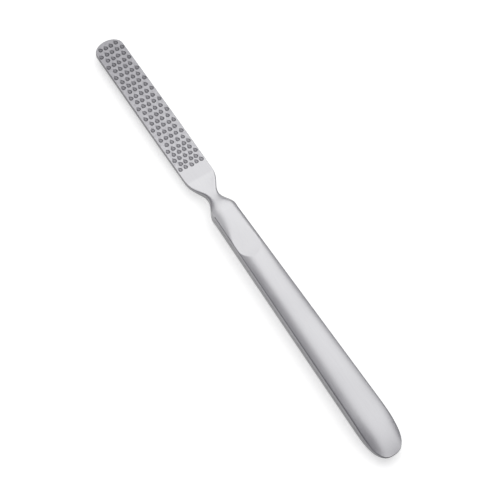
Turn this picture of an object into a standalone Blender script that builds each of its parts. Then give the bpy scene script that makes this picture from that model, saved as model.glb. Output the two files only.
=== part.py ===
# Nail rasp with a hollow steel handle, in metres.
# The tool lies along X, with the tip of its blade at -X and the round end of its handle at +X.
# Its toothed face looks up, +Z, and the flat under the handle rests on Z = 0.
# The origin is under the middle of the tool. Places along it are distances from the blade's tip.

import math
import random

import bmesh
import bpy
from mathutils import Vector
from mathutils.geometry import delaunay_2d_cdt

# Whole tool
OVERALL_LENGTH = 0.1750

# Blade, a flat plate with a round tip
BLADE_LENGTH = 0.0612
BLADE_TIP_WIDTH = 0.0097
BLADE_WIDTH = 0.0102
BLADE_THICKNESS = 0.0016
BLADE_TAPER_LENGTH = 0.0380
BLADE_TAPER_ROUND = 0.0020
BLADE_EDGE_ROUND = 0.00015
TIP_ROUND_LENGTH = 0.0035

# Waist between the blade and the handle
WAIST_TAPER_LENGTH = 0.0068
WAIST_TAPER_ROUND = 0.0022
WAIST_FLARE_LENGTH = 0.0056
NECK_WIDTH = 0.0040
NECK_THICKNESS = 0.0030
NECK_ROUND = 0.0024
NECK_EDGE_ROUND = 0.0008
NECK_CROWN_RISE = 0.0006
THICKENING_SETBACK = 0.0010
THICKENING_ROUND = 0.0022

# Shoulder and the solid bolster behind it
SHOULDER_WIDTH = 0.0084
SHOULDER_ROUND = 0.0009
BOLSTER_LENGTH = 0.0021

# Handle: two pressed shells with flat ground sides
HANDLE_WIDTH = 0.0117
LAND_HEIGHT = 0.0046
CROWN_RISE = 0.00105
JOINT_CROWN_RISE = 0.00075
CROWN_GROWTH_LENGTH = 0.0360
SHELL_WALL = 0.0007
END_ROUND_LENGTH = 0.0145
UPPER_FALL_LENGTH = 0.0174
LOWER_FALL_LENGTH = 0.0140
END_THICKNESS = 0.0006
SEAM_THICKNESS = 0.00025

# Flat for the thumb, pressed into the upper shell between two slopes
THUMB_FLAT_SETBACK = 0.0106
THUMB_FLAT_LENGTH = 0.0059
THUMB_FLAT_ABOVE_LAND = 0.00008
THUMB_ENTRY_LENGTH = 0.0120
THUMB_EXIT_LENGTH = 0.0054

# Tang inside the handle and the braze that holds it
TANG_LENGTH = 0.0200
TANG_WIDTH = 0.0028
TANG_THICKNESS = 0.0024
BRAZE_LENGTH = 0.0055
FIT_GAP = 0.0003

# Teeth, punched in staggered rows
FIRST_ROW_FROM_TIP = 0.0021
BARE_BASE_LENGTH = 0.0070
ROW_PITCH = 0.00232
CLOSE_FIELD_LENGTH = 0.0080
CLOSE_ROW_PITCH = 0.00200
TOOTH_PITCH = 0.00195
TOOTH_SIDE_MARGIN = 0.00095
TOOTH_LENGTH = 0.00160
TOOTH_WIDTH = 0.00120
TOOTH_PIT_DEPTH = 0.00034
TOOTH_LIP_HEIGHT = 0.00022
TOOTH_EDGE_GAP = 0.00003
TOOTH_SCATTER = 0.00012
TOOTH_SCATTER_TURN = math.radians(7)
TOOTH_SEED = 4

# Shares of the sizes that they follow
END_ROUND_POWER = 2.55
CROWN_POWER = 2.4
WAIST_ROUNDNESS = 0.5
LEVEL_SHARE = 0.3
INNER_LAND_SHARE = 0.6

# Counts that set how fine the surfaces are
BLADE_ARC_STEPS = 3
SHELL_ARC_STEPS = 5
INNER_ARC_STEPS = 3
LEVEL_STEPS = 4
TIP_STEPS = 7
WAIST_STEPS = 26
ENTRY_STEPS = 6
FLAT_STEPS = 2
EXIT_STEPS = 4
AFTER_FLAT_STEPS = 8
END_STEPS = 10

SMOOTH_ANGLE = math.radians(32)
MERGE_DISTANCE = 1e-7

# Places that follow from the sizes
NECK = BLADE_LENGTH + WAIST_TAPER_LENGTH
SHOULDER = NECK + WAIST_FLARE_LENGTH
JOINT = SHOULDER + BOLSTER_LENGTH
PLATE_END = BLADE_LENGTH - WAIST_TAPER_ROUND
END_START = OVERALL_LENGTH - END_ROUND_LENGTH
FLAT_START = JOINT + THUMB_FLAT_SETBACK
FLAT_END = FLAT_START + THUMB_FLAT_LENGTH
EXIT_END = FLAT_END + THUMB_EXIT_LENGTH

# The tool rests on the level strip along the middle of its lower crown
AXIS_HEIGHT = LAND_HEIGHT / 2 + CROWN_RISE * (1 - LEVEL_SHARE ** CROWN_POWER)

# Principled BSDF values: colour, metallic, roughness
SATIN_STEEL = ((0.62, 0.62, 0.64, 1), 1.0, 0.38)
RASP_STEEL = ((0.52, 0.52, 0.54, 1), 1.0, 0.42)
WELD_STEEL = ((0.50, 0.50, 0.52, 1), 1.0, 0.45)
BRAZE_ALLOY = ((0.72, 0.66, 0.52, 1), 1.0, 0.50)


def clear_scene():
    """Remove whatever the scene holds."""
    for item in list(bpy.data.objects):
        bpy.data.objects.remove(item)


# Outline in plan


def soft_ramp(distance, blend):
    """Zero before a corner and the distance after it, rounded within the blend."""
    if distance <= -blend:
        return 0
    if distance >= blend:
        return distance
    return (distance + blend) ** 2 / (4 * blend)


def rounded_line(place, knots, blends):
    """Value at a place on a line through the knots, with each inner corner rounded."""
    slopes = [(b[1] - a[1]) / (b[0] - a[0]) for a, b in zip(knots, knots[1:])]
    value = knots[0][1] + slopes[0] * (place - knots[0][0])
    for knot, blend, before, after in zip(knots[1:], blends, slopes, slopes[1:]):
        value += (after - before) * soft_ramp(place - knot[0], blend)
    return value


def waist_corner_half():
    """Half-width of the waist's sharp corner, which rounds out to half the neck's width."""
    quarter = NECK_ROUND / 4
    lean = 1 / WAIST_TAPER_LENGTH + 1 / WAIST_FLARE_LENGTH
    spread = BLADE_WIDTH / WAIST_TAPER_LENGTH + SHOULDER_WIDTH / WAIST_FLARE_LENGTH
    return (NECK_WIDTH - quarter * spread) / (2 * (1 - quarter * lean))


def side_line(place):
    """Half-width of the tool, without the rounding of its two ends."""
    knots = [(0, BLADE_TIP_WIDTH / 2), (BLADE_TAPER_LENGTH, BLADE_WIDTH / 2),
             (BLADE_LENGTH, BLADE_WIDTH / 2), (NECK, waist_corner_half()),
             (SHOULDER, SHOULDER_WIDTH / 2), (END_START, HANDLE_WIDTH / 2)]
    blends = [BLADE_TAPER_ROUND, WAIST_TAPER_ROUND, NECK_ROUND, SHOULDER_ROUND]
    return rounded_line(place, knots, blends)


def plan_point(station, inset):
    """Place and half-width of the handle's outline at a station, drawn in by the inset."""
    start, turn = station
    power = 2 / END_ROUND_POWER
    place = start + (END_ROUND_LENGTH - inset) * math.sin(turn) ** power
    half = (side_line(place) - inset) * max(0, math.cos(turn)) ** power
    return place, half


def handle_stations():
    """Stations of the handle, each the start of its stretch and its turn round the end."""
    runs = [(JOINT, FLAT_START, ENTRY_STEPS), (FLAT_START, FLAT_END, FLAT_STEPS),
            (FLAT_END, EXIT_END, EXIT_STEPS), (EXIT_END, END_START, AFTER_FLAT_STEPS)]
    stations = []
    for start, end, steps in runs:
        stations += [(start + (end - start) * i / steps, 0) for i in range(steps)]
    quarter_turn = math.pi / 2
    stations += [(END_START, quarter_turn * i / END_STEPS) for i in range(END_STEPS)]
    return stations + [(END_START, quarter_turn)]


# Heights over the tool's middle plane


def waist_value(place, plate, neck, handle):
    """A height or width that grows from the plate, through the neck, to the handle."""
    full = JOINT - THICKENING_ROUND
    knots = [(0, plate), (BLADE_LENGTH + THICKENING_SETBACK, plate), (NECK, neck),
             (full, handle), (OVERALL_LENGTH, handle)]
    return rounded_line(place, knots, [THICKENING_ROUND] * 3)


def end_keeps(place, upper):
    """Shares of its height that a crown, and the land under it, keep towards the handle's end."""
    length = UPPER_FALL_LENGTH if upper else LOWER_FALL_LENGTH
    beyond = min(1, max(0, place - OVERALL_LENGTH + length) / length)
    if upper:
        return 1 - beyond ** 2, (1 + math.cos(math.pi * beyond)) / 2
    return 1 - beyond ** 3, 1 - beyond ** 3


def handle_edge(place, upper):
    """Half-height of the flat side land, or of the thin edge past its end."""
    end_half = END_THICKNESS / 2
    return end_half + (LAND_HEIGHT / 2 - end_half) * end_keeps(place, upper)[1]


def handle_rise(place, upper):
    """Height of a crown over the land's edge. The upper one grows away from the bolster."""
    full = CROWN_RISE
    if upper:
        grown = min(1, max(0, place - JOINT) / CROWN_GROWTH_LENGTH)
        grown = grown * grown * (3 - 2 * grown)
        full = JOINT_CROWN_RISE + (CROWN_RISE - JOINT_CROWN_RISE) * grown
    end_half = END_THICKNESS / 2
    top = end_half + (LAND_HEIGHT / 2 + full - end_half) * end_keeps(place, upper)[0]
    return max(0, top - handle_edge(place, upper))


def thumb_flat_cap(place):
    """Height that the thumb flat and its two slopes press the upper crown down to."""
    before = max(0, FLAT_START - place) / THUMB_ENTRY_LENGTH
    after = max(0, place - FLAT_END) / THUMB_EXIT_LENGTH
    return LAND_HEIGHT / 2 + THUMB_FLAT_ABOVE_LAND + CROWN_RISE * (before + after)


def crown_share(share, roundness):
    """Share of a crown's rise at a share of the way out to its edge.

    A roundness of one leaves a crease at the edge, and a half makes it fully round.
    """
    return (1 - share ** CROWN_POWER) ** roundness


def crown(half, edge, rise, rounding, roundness, reach, steps, cap=None):
    """Points (y, z) of one crown, from the land's edge at +Y over to the one at -Y.

    It rounds within the rounding's width, and a cap cuts off what stands higher.
    """
    if cap is None or cap > edge + rise:
        cap = edge + rise
    elif cap < edge + rise * crown_share(reach, roundness):
        reach = (1 - ((cap - edge) / rise) ** (1 / roundness)) ** (1 / CROWN_POWER)
    side = []
    for i in range(steps + 1):
        share = 1 - (1 - reach) * (i / steps) ** 2
        side.append((half - rounding * (1 - share), edge + rise * crown_share(share, roundness)))
    level_half = side[-1][0]
    middle = []
    for i in range(1, LEVEL_STEPS):
        span = 1 - 2 * i / LEVEL_STEPS
        share = max(0, 1 - (half - level_half * abs(span)) / rounding)
        middle.append((level_half * span, min(cap, edge + rise * crown_share(share, roundness))))
    return side + middle + [(-y, z) for y, z in reversed(side)]


# Mesh helpers


def along(place):
    """X of a place that is measured from the blade's tip."""
    return place - OVERALL_LENGTH / 2


def add_ring(mesh, place, points):
    """Vertices for one cross-section."""
    return [mesh.verts.new((along(place), y, z)) for y, z in points]


def join_rows(mesh, first, second, closed):
    """Faces between two rows of vertices."""
    count = len(first)
    for i in range(count if closed else count - 1):
        j = (i + 1) % count
        mesh.faces.new((first[i], first[j], second[j], second[i]))


def add_object(name, mesh, finish, axis):
    """Turn a finished mesh into an object of its own that hangs on the tool's axis."""
    bmesh.ops.remove_doubles(mesh, verts=mesh.verts, dist=MERGE_DISTANCE)
    bmesh.ops.dissolve_degenerate(mesh, edges=mesh.edges, dist=MERGE_DISTANCE)
    bmesh.ops.recalc_face_normals(mesh, faces=mesh.faces)
    data = bpy.data.meshes.new(name)
    mesh.to_mesh(data)
    mesh.free()
    data.shade_smooth()
    data.set_sharp_from_angle(angle=SMOOTH_ANGLE)
    data.materials.append(finish)
    item = bpy.data.objects.new(name, data)
    item.parent = axis
    bpy.context.scene.collection.objects.link(item)
    return item


def metal(name, values):
    """Material with a Principled BSDF for one kind of metal."""
    colour, metallic, roughness = values
    material = bpy.data.materials.new(name)
    material.use_nodes = True
    shader = material.node_tree.nodes["Principled BSDF"]
    shader.inputs["Base Color"].default_value = colour
    shader.inputs["Metallic"].default_value = metallic
    shader.inputs["Roughness"].default_value = roughness
    material.diffuse_color = colour
    return material


# Rasp blade: plate with teeth, waist, bolster and tang, forged as one piece


def waist_section(place):
    """Upper crown, then mirrored lower crown, of the blade behind its plate."""
    half = side_line(place)
    rounding = waist_value(place, BLADE_EDGE_ROUND, NECK_EDGE_ROUND, side_line(JOINT))
    roundness = waist_value(place, WAIST_ROUNDNESS, WAIST_ROUNDNESS, 1)
    reach = waist_value(place, 0, 0, LEVEL_SHARE)
    crowns = []
    for handle_crown in (JOINT_CROWN_RISE, CROWN_RISE):
        rise = waist_value(place, BLADE_EDGE_ROUND, NECK_CROWN_RISE, handle_crown)
        top = waist_value(place, BLADE_THICKNESS / 2, NECK_THICKNESS / 2, LAND_HEIGHT / 2 + handle_crown)
        strip = top - rise + rise * crown_share(reach, roundness)
        cap = strip if crowns else None
        crowns.append(crown(half, top - rise, rise, rounding, roundness, reach, BLADE_ARC_STEPS, cap))
    upper, lower = crowns
    return upper + [(y, -z) for y, z in reversed(lower)]


def tang_section():
    """The tang's rectangle, with as many points as a waist section has."""
    half = TANG_WIDTH / 2
    upper = crown(half, TANG_THICKNESS / 2, 0, half, 1, LEVEL_SHARE, BLADE_ARC_STEPS)
    return upper + [(y, -z) for y, z in reversed(upper)]


def close_ring(mesh, ring):
    """Fill a cross-section with strips that run from its upper to its lower points."""
    count = len(ring) // 2
    join_rows(mesh, ring[:count], ring[:count - 1:-1], False)


def tip_outline():
    """Plate outline as (place, y, outward normal), from +Y round the tip to -Y."""
    knee = side_line(BLADE_TAPER_LENGTH)
    outline = [(BLADE_TAPER_LENGTH, knee, Vector((0, 1)))]
    for i in range(2 * TIP_STEPS + 1):
        angle = math.pi / 2 * (1 - i / TIP_STEPS)
        half = side_line(TIP_ROUND_LENGTH)
        place = TIP_ROUND_LENGTH * (1 - math.cos(angle))
        normal = Vector((-math.cos(angle) / TIP_ROUND_LENGTH, math.sin(angle) / half))
        outline.append((place, half * math.sin(angle), normal.normalized()))
    outline.append((BLADE_TAPER_LENGTH, -knee, Vector((0, -1))))
    return outline


def plate_rim(mesh, ring):
    """Rounded rim of the plate. Returns the columns of vertices, each from top to bottom."""
    steps = BLADE_ARC_STEPS
    count = len(ring)
    first = ring[steps::-1] + ring[:count - steps - 2:-1]
    top_far = len(ring) // 2 - 1
    last = ring[top_far - steps:top_far + steps + 2]
    half_column = crown(BLADE_EDGE_ROUND, BLADE_THICKNESS / 2 - BLADE_EDGE_ROUND, BLADE_EDGE_ROUND,
                        BLADE_EDGE_ROUND, WAIST_ROUNDNESS, 0, steps)[:steps + 1]
    profile = [(BLADE_EDGE_ROUND - y, z) for y, z in reversed(half_column)]
    profile += [(inset, -z) for inset, z in reversed(profile)]
    columns = [first]
    for place, y, normal in tip_outline():
        column = []
        for inset, z in profile:
            column.append(mesh.verts.new((along(place) - normal.x * inset, y - normal.y * inset, z)))
        columns.append(column)
    columns.append(last)
    for before, after in zip(columns, columns[1:]):
        join_rows(mesh, before, after, False)
    return columns


def tooth_rows():
    """Places of the rows of teeth, which stand closer at the base of the field."""
    last = BLADE_LENGTH - BARE_BASE_LENGTH
    change = last - CLOSE_FIELD_LENGTH
    rows = []
    for start, end, pitch in [(FIRST_ROW_FROM_TIP, change, ROW_PITCH), (change, last, CLOSE_ROW_PITCH)]:
        gaps = max(1, round((end - start) / pitch))
        rows += [start + (end - start) * i / gaps for i in range(gaps)]
    return rows + [last]


def tooth_places():
    """Centre and turn of every tooth: rows of four and five by turns, a little scattered."""
    scatter = random.Random(TOOTH_SEED)
    field = BLADE_TIP_WIDTH - 2 * TOOTH_SIDE_MARGIN
    gaps = max(1, round(field / TOOTH_PITCH))
    pitch = field / gaps
    rows = tooth_rows()
    places = []
    for number, place in enumerate(reversed(rows)):
        row_gaps = gaps - number % 2
        for i in range(row_gaps + 1):
            shift = scatter.uniform(-TOOTH_SCATTER, TOOTH_SCATTER)
            slide = scatter.uniform(-TOOTH_SCATTER, TOOTH_SCATTER)
            turn = scatter.uniform(-TOOTH_SCATTER_TURN, TOOTH_SCATTER_TURN)
            y = (i - row_gaps / 2) * pitch
            places.append((Vector((place + shift, y + slide)), turn))
    return places


# Tooth points as shares of its length, width and height: along, across, up.
# The foot runs from the pit's sharp front round the back, and the lip stands inside it.
FOOT_SHARES = [(-0.50, 0.0), (-0.14, 0.33), (0.14, 0.50), (0.39, 0.36), (0.50, 0.0),
               (0.39, -0.36), (0.14, -0.50), (-0.14, -0.33)]
LIP_SHARES = [(0.08, 0.37, 0.40), (0.25, 0.25, 0.85), (0.31, 0.0, 1.0),
              (0.25, -0.25, 0.85), (0.08, -0.37, 0.40)]
PIT_SHARE = 0.14


def tooth_point(centre, turn, forward, across):
    """A tooth's point in plan, from shares of its length and width."""
    x = forward * TOOTH_LENGTH
    y = across * TOOTH_WIDTH
    cosine, sine = math.cos(turn), math.sin(turn)
    return centre + Vector((x * cosine - y * sine, x * sine + y * cosine))


def flat_half_width(place):
    """Half-width of the plate's level face."""
    half = side_line(place)
    if place < TIP_ROUND_LENGTH:
        lean = max(0, 1 - place / TIP_ROUND_LENGTH)
        half *= math.sqrt(1 - lean ** 2)
    return half - BLADE_EDGE_ROUND


def tooth_fits(foot):
    """Whether the whole foot of a tooth lies on the plate's level face."""
    return all(point.x > BLADE_EDGE_ROUND + TOOTH_EDGE_GAP
               and abs(point.y) < flat_half_width(point.x) - TOOTH_EDGE_GAP for point in foot)


def raise_tooth(mesh, centre, turn, foot, level):
    """Pit and raised lip of one tooth, within the vertices of its foot."""
    lip = []
    for forward, across, up in LIP_SHARES:
        point = tooth_point(centre, turn, forward, across)
        lip.append(mesh.verts.new((along(point.x), point.y, level + up * TOOTH_LIP_HEIGHT)))
    point = tooth_point(centre, turn, PIT_SHARE, 0)
    pit = mesh.verts.new((along(point.x), point.y, level - TOOTH_PIT_DEPTH))
    inner = [foot[0], foot[1]] + lip + [foot[-1]]
    for a, b in zip(inner, inner[1:] + inner[:1]):
        mesh.faces.new((a, b, pit))
    mesh.faces.new((foot[1], foot[2], lip[0]))
    mesh.faces.new((foot[-1], foot[-2], lip[-1]))
    join_rows(mesh, foot[2:7], lip, False)


def inside(point, loop):
    """Whether a point in plan lies inside a closed loop."""
    odd = False
    for a, b in zip(loop, loop[1:] + loop[:1]):
        if (a.y > point.y) != (b.y > point.y):
            if point.x < a.x + (b.x - a.x) * (point.y - a.y) / (b.y - a.y):
                odd = not odd
    return odd


def toothed_face(mesh, rim):
    """Level face of the plate between its rim and the teeth, and the teeth themselves."""
    level = BLADE_THICKNESS / 2
    corners = list(rim)
    loops = [list(range(len(rim)))]
    for centre, turn in tooth_places():
        foot = [tooth_point(centre, turn, forward, across) for forward, across in FOOT_SHARES]
        if not tooth_fits(foot):
            continue
        vertices = [mesh.verts.new((along(point.x), point.y, level)) for point in foot]
        raise_tooth(mesh, centre, turn, vertices, level)
        loops.append(list(range(len(corners), len(corners) + len(foot))))
        corners += vertices
    flat = [corner.co.xy for corner in corners]
    edges = [(loop[i - 1], loop[i]) for loop in loops for i in range(len(loop))]
    outlines = [[flat[i] for i in loop] for loop in loops]
    points, _, triangles, sources, _, _ = delaunay_2d_cdt(flat, edges, [], 0, 0, True)
    for triangle in triangles:
        middle = sum((points[i] for i in triangle), Vector((0, 0))) / 3
        on_plate = inside(middle, outlines[0])
        if on_plate and not any(inside(middle, outline) for outline in outlines[1:]):
            mesh.faces.new([corners[sources[i][0]] for i in triangle])


def make_blade(finish, axis):
    """Plate, waist, bolster and tang as one closed body."""
    mesh = bmesh.new()
    rings = []
    for i in range(WAIST_STEPS + 1):
        place = PLATE_END + (JOINT - PLATE_END) * i / WAIST_STEPS
        rings.append(add_ring(mesh, place, waist_section(place)))
    rings.append(add_ring(mesh, JOINT, tang_section()))
    rings.append(add_ring(mesh, JOINT + TANG_LENGTH, tang_section()))
    for before, after in zip(rings, rings[1:]):
        join_rows(mesh, before, after, True)
    close_ring(mesh, rings[-1])
    first = rings[0]
    columns = plate_rim(mesh, first)
    steps = BLADE_ARC_STEPS
    count = len(first)
    upper_inside = first[steps + 1:steps + LEVEL_STEPS]
    lower_inside = first[count // 2 + steps + 1:count // 2 + steps + LEVEL_STEPS]
    toothed_face(mesh, [column[0] for column in columns] + upper_inside[::-1])
    mesh.faces.new([column[-1] for column in columns] + lower_inside)
    return add_object("rasp_blade", mesh, finish, axis)


# Handle shells


def outer_crown(place, half, upper):
    """Outer crown of a shell. The upper one takes the thumb flat, the lower one has a level strip."""
    edge, rise = handle_edge(place, upper), handle_rise(place, upper)
    cap = thumb_flat_cap(place) if upper else edge + rise * crown_share(LEVEL_SHARE, 1)
    return crown(half, edge, rise, half, 1, LEVEL_SHARE, SHELL_ARC_STEPS, cap)


def inner_crown(place, half, upper, gap=0):
    """Crown of the hollow inside a shell, or of what fills it with a gap all round."""
    top = handle_edge(place, upper) + handle_rise(place, upper)
    if upper:
        top = min(top, thumb_flat_cap(place))
    edge = INNER_LAND_SHARE * handle_edge(place, upper)
    rise = max(0, top - SHELL_WALL - gap - edge)
    return crown(half, edge, rise, half, 1, LEVEL_SHARE, INNER_ARC_STEPS)


def make_shell(name, upper, finish, axis):
    """One half of the handle, open towards the seam and towards the bolster."""
    mesh = bmesh.new()
    sign = 1 if upper else -1
    seam = SEAM_THICKNESS / 2
    rows = []
    for station in handle_stations():
        place, half = plan_point(station, 0)
        outer = outer_crown(place, half, upper)
        outer = [(half, seam)] + outer + [(-half, seam)]
        inner_place, inner_half = plan_point(station, SHELL_WALL)
        inner = inner_crown(inner_place, inner_half, upper)
        inner = [(inner_half, seam)] + inner + [(-inner_half, seam)]
        outer_row = add_ring(mesh, place, [(y, z * sign) for y, z in outer])
        inner_row = add_ring(mesh, inner_place, [(y, z * sign) for y, z in inner])
        rows.append((outer_row, inner_row))
    for (outer, inner), (next_outer, next_inner) in zip(rows, rows[1:]):
        join_rows(mesh, outer, next_outer, False)
        join_rows(mesh, inner, next_inner, False)
        mesh.faces.new((outer[0], next_outer[0], next_inner[0], inner[0]))
        mesh.faces.new((outer[-1], next_outer[-1], next_inner[-1], inner[-1]))
    outer, inner = rows[0]
    mesh.faces.new(outer + inner[::-1])
    return add_object(name, mesh, finish, axis)


def make_seam(finish, axis):
    """Weld that fills the seam between the two shells, ground flush with the lands."""
    mesh = bmesh.new()
    seam = SEAM_THICKNESS / 2
    sections = []
    stations = handle_stations()
    path = [(station, 1) for station in stations] + [(station, -1) for station in stations[-2::-1]]
    for station, side in path:
        outer_place, outer_half = plan_point(station, 0)
        inner_place, inner_half = plan_point(station, SHELL_WALL)
        corners = [(outer_place, outer_half, -seam), (outer_place, outer_half, seam),
                   (inner_place, inner_half, seam), (inner_place, inner_half, -seam)]
        sections.append([mesh.verts.new((along(x), y * side, z)) for x, y, z in corners])
    for before, after in zip(sections, sections[1:]):
        join_rows(mesh, before, after, True)
    mesh.faces.new(sections[0])
    mesh.faces.new(sections[-1])
    return add_object("seam_weld", mesh, finish, axis)


def make_braze(finish, axis):
    """Braze that fills the handle's mouth round the tang."""
    mesh = bmesh.new()
    rings = []
    for place in (JOINT, JOINT + BRAZE_LENGTH):
        half = side_line(place) - SHELL_WALL - FIT_GAP
        upper = inner_crown(place, half, True, FIT_GAP)
        lower = inner_crown(place, half, False, FIT_GAP)
        rings.append(add_ring(mesh, place, upper + [(y, -z) for y, z in reversed(lower)]))
    for place in (JOINT + BRAZE_LENGTH, JOINT):
        rings.append(add_ring(mesh, place, tang_section()))
    for before, after in zip(rings, rings[1:] + rings[:1]):
        join_rows(mesh, before, after, True)
    return add_object("tang_braze", mesh, finish, axis)


def main():
    clear_scene()
    axis = bpy.data.objects.new("tool_axis", None)
    axis.location.z = AXIS_HEIGHT
    bpy.context.scene.collection.objects.link(axis)
    satin = metal("satin_steel", SATIN_STEEL)
    make_blade(metal("rasp_steel", RASP_STEEL), axis)
    make_braze(metal("braze_alloy", BRAZE_ALLOY), axis)
    make_shell("handle_upper_shell", True, satin, axis)
    make_shell("handle_lower_shell", False, satin, axis)
    make_seam(metal("weld_steel", WELD_STEEL), axis)


main()
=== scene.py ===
# Looks of the nail rasp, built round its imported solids, in metres and in their frame.
# The tool lies along X, with the tip of its blade at -X and the round end of its handle at +X.
# Its toothed face looks up. Places along the tool are distances from the blade's tip.

import math
import random

import bmesh
import bpy
from mathutils import Matrix, Vector
from mathutils.geometry import delaunay_2d_cdt, intersect_line_line_2d


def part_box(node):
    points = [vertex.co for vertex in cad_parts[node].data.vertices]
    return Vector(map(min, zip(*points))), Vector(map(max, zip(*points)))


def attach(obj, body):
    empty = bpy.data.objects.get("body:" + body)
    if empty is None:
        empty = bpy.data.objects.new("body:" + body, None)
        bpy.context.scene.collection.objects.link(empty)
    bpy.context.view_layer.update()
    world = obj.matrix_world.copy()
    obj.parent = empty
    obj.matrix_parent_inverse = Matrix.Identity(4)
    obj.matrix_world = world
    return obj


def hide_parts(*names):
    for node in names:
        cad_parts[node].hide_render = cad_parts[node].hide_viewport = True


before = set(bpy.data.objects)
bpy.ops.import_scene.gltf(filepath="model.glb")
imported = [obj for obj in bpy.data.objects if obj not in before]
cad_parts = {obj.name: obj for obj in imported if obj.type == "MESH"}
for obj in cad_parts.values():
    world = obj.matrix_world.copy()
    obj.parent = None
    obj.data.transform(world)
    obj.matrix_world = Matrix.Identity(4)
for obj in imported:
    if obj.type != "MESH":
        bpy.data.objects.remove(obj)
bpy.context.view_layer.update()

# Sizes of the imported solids
BLADE_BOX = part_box("rasp_blade")
UPPER_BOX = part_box("handle_upper_shell")
SEAM_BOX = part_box("seam_weld")
TIP_X = BLADE_BOX[0].x
OVERALL_LENGTH = UPPER_BOX[1].x - TIP_X
JOINT = UPPER_BOX[0].x - TIP_X
TANG_END = BLADE_BOX[1].x - TIP_X
HANDLE_WIDTH = UPPER_BOX[1].y - UPPER_BOX[0].y
SEAM_THICKNESS = SEAM_BOX[1].z - SEAM_BOX[0].z
AXIS_HEIGHT = (SEAM_BOX[0].z + SEAM_BOX[1].z) / 2

# Blade, a flat plate with a round tip
BLADE_LENGTH = 0.0612
BLADE_TIP_WIDTH = 0.0097
BLADE_WIDTH = 0.0102
BLADE_THICKNESS = 0.0016
BLADE_TAPER_LENGTH = 0.0380
BLADE_TAPER_ROUND = 0.0020
BLADE_EDGE_ROUND = 0.00015
TIP_ROUND_LENGTH = 0.0035

# Waist, shoulder and bolster between the blade and the handle
BOLSTER_LENGTH = 0.0021
WAIST_FLARE_LENGTH = 0.0056
WAIST_TAPER_ROUND = 0.0022
NECK_WIDTH = 0.0040
NECK_THICKNESS = 0.0030
NECK_ROUND = 0.0024
NECK_EDGE_ROUND = 0.0008
NECK_CROWN_RISE = 0.0006
FLARE_CROWN_RISE = 0.0003
FLARE_GROWTH_LENGTH = 0.0040
THICKENING_SETBACK = 0.0010
THICKENING_ROUND = 0.0022
SHOULDER_WIDTH = 0.0084
SHOULDER_ROUND = 0.0009

# Handle
LAND_HEIGHT = 0.0046
CROWN_RISE = 0.00105
JOINT_CROWN_RISE = 0.00075
CROWN_GROWTH_LENGTH = 0.0360
CREASE_ROUND = 0.00030
END_CREASE_ROUND = 0.00060
SHELL_WALL = 0.0007
END_ROUND_LENGTH = 0.0145
UPPER_FALL_LENGTH = 0.0174
LOWER_FALL_LENGTH = 0.0140
END_THICKNESS = 0.0006
THUMB_FLAT_SETBACK = 0.0106
THUMB_FLAT_LENGTH = 0.0050
THUMB_FLAT_ABOVE_LAND = 0.00031
THUMB_ENTRY_LENGTH = 0.0120
THUMB_EXIT_LENGTH = 0.0054
THUMB_ENTRY_ROUND = 0.0025
THUMB_EXIT_ROUND = 0.0016
THUMB_FLAT_BLEND = 0.00004
THUMB_ENTRY_BLEND = 0.00036
THUMB_FLAT_ROLL = math.radians(3.4)
FRONT_LENGTH = 0.0300
WELD_SINK = 0.00006

# Tang inside the handle
TANG_WIDTH = 0.0028
TANG_THICKNESS = 0.0024

# Teeth, punched in staggered rows
FIRST_ROW_FROM_TIP = 0.0021
BARE_BASE_LENGTH = 0.0070
ROW_PITCH = 0.00232
CLOSE_FIELD_LENGTH = 0.0080
CLOSE_ROW_PITCH = 0.00200
TOOTH_PITCH = 0.00195
TOOTH_SIDE_MARGIN = 0.00095
TOOTH_LENGTH = 0.00202
TOOTH_WIDTH = 0.00148
TOOTH_PIT_DEPTH = 0.00014
TOOTH_LIP_HEIGHT = 0.00006
TOOTH_EDGE_GAP = 0.00003
TOOTH_SCATTER = 0.00012
TOOTH_SCATTER_TURN = math.radians(7)
TOOTH_LEAN = math.radians(12)
# Turn round a tooth towards which its painted pit shade is darkest
TOOTH_SHADE_TURN = math.radians(242)
TOOTH_SEED = 4

# Powers of the curves
END_ROUND_POWER = 2.55
NEAR_END_POWER = 2.75
END_LEAN_POWER = 2
UPPER_FALL_POWER = 2
LOWER_FALL_POWER = 4
CROWN_POWER = 2.4
WAIST_ROUNDNESS = 0.5
SHELL_ROUNDNESS = 1
TOOTH_POINT_POWER = 1.3

# Shares of the sizes that they follow
END_LEAN_SHARE = 0.10
LEVEL_SHARE = 0.3
LEVEL_EDGE_SHARE = 0.97
INNER_LAND_SHARE = 0.6
CREASE_LAND_SHARE = 0.5
CREASE_WIDTH_SHARE = 0.25
THUMB_BLEND_SHARE = 0.5
FAR_WIDENING_SHARE = 0.6
FRONT_BULGE_SHARE = 0.8
TAPER_BULGE_SHARE = 1.8
NECK_BULGE_SHARE = -0.4
TAPER_HOLLOW_SHARE = 0.4
NEAR_HOLLOW_SHARE = 0.2
FRONT_HOLLOW_SHARE = 0.4
TOOTH_SIZE_SCATTER_SHARE = 0.06
# Share by which a tooth's painted pit shade lightens away from that turn
TOOTH_SHADE_SHARE = 0.20
TOOTH_POLE_SHARE = 0.12
TOOTH_REACH_SHARE = 2
TOOTH_NUDGE_SHARE = 0.99
TOOTH_SHRINK_SHARE = 0.97

# Greatest half-width of the teardrop's formula, which the formula is divided by
TOOTH_WIDEST_SHARE = (2 * math.sqrt(1 + TOOTH_POINT_POWER) / (2 + TOOTH_POINT_POWER)
                      * ((1 + TOOTH_POINT_POWER) / (2 + TOOTH_POINT_POWER)) ** (TOOTH_POINT_POWER / 2))
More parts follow.
